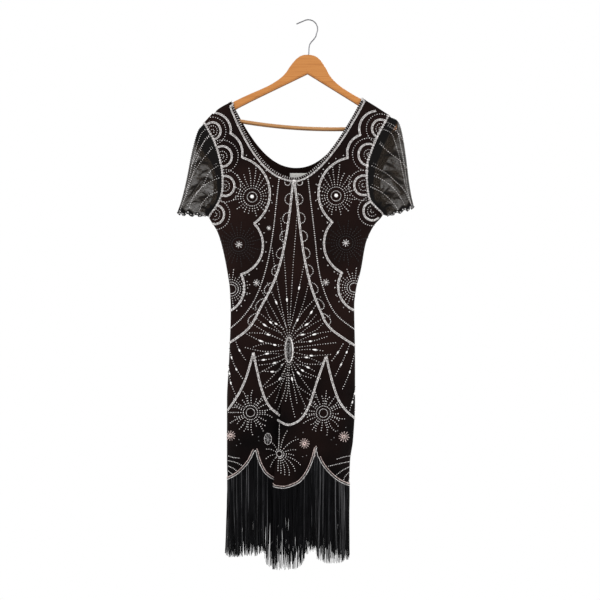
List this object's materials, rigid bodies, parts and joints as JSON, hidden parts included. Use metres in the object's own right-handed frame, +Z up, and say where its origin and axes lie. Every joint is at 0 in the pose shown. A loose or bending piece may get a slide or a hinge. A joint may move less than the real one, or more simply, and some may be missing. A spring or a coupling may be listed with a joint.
{
  "type": "beaded flapper dress on a wooden hanger",
  "caption": "Low-waisted black dress with sheer short sleeves, beaded edges, scalloped hem and long fringe, hanging open and empty on a wooden hanger with a wire hook.",
  "frame": {"origin": "inner top of the hook's bend, where a nail or rail carries the hanger", "axes": "+Z up, the front of the dress faces -Y, the wearer's right side is at -X"},
  "size_m": [0.5702, 0.1054, 1.329],
  "materials": {
    "cloth": "matte woven mesh over a dark lining layer, softly sheened",
    "sheer_net": "fine see-through net",
    "beads": "silver lined beads, glossy",
    "fringe_yarn": "smooth twisted yarn with a soft shine",
    "label_cloth": "matte woven",
    "beech": "satin varnish",
    "bar_beech": "satin varnish, paler",
    "hook_steel": "bright drawn wire"
  },
  "bodies": {
    "root": {"dress_front": "cloth", "dress_back": "cloth", "sleeve_left": "sheer_net", "sleeve_right": "sheer_net", "neck_band_front": "beads", "neck_band_back": "beads", "hem_band_front": "beads", "hem_band_back": "beads", "fringe_front": "fringe_yarn", "fringe_back": "fringe_yarn", "label": "label_cloth", "hanger_arch": "beech", "hanger_bar": "bar_beech", "hanger_hook": "hook_steel"}
  },
  "joints": []
}
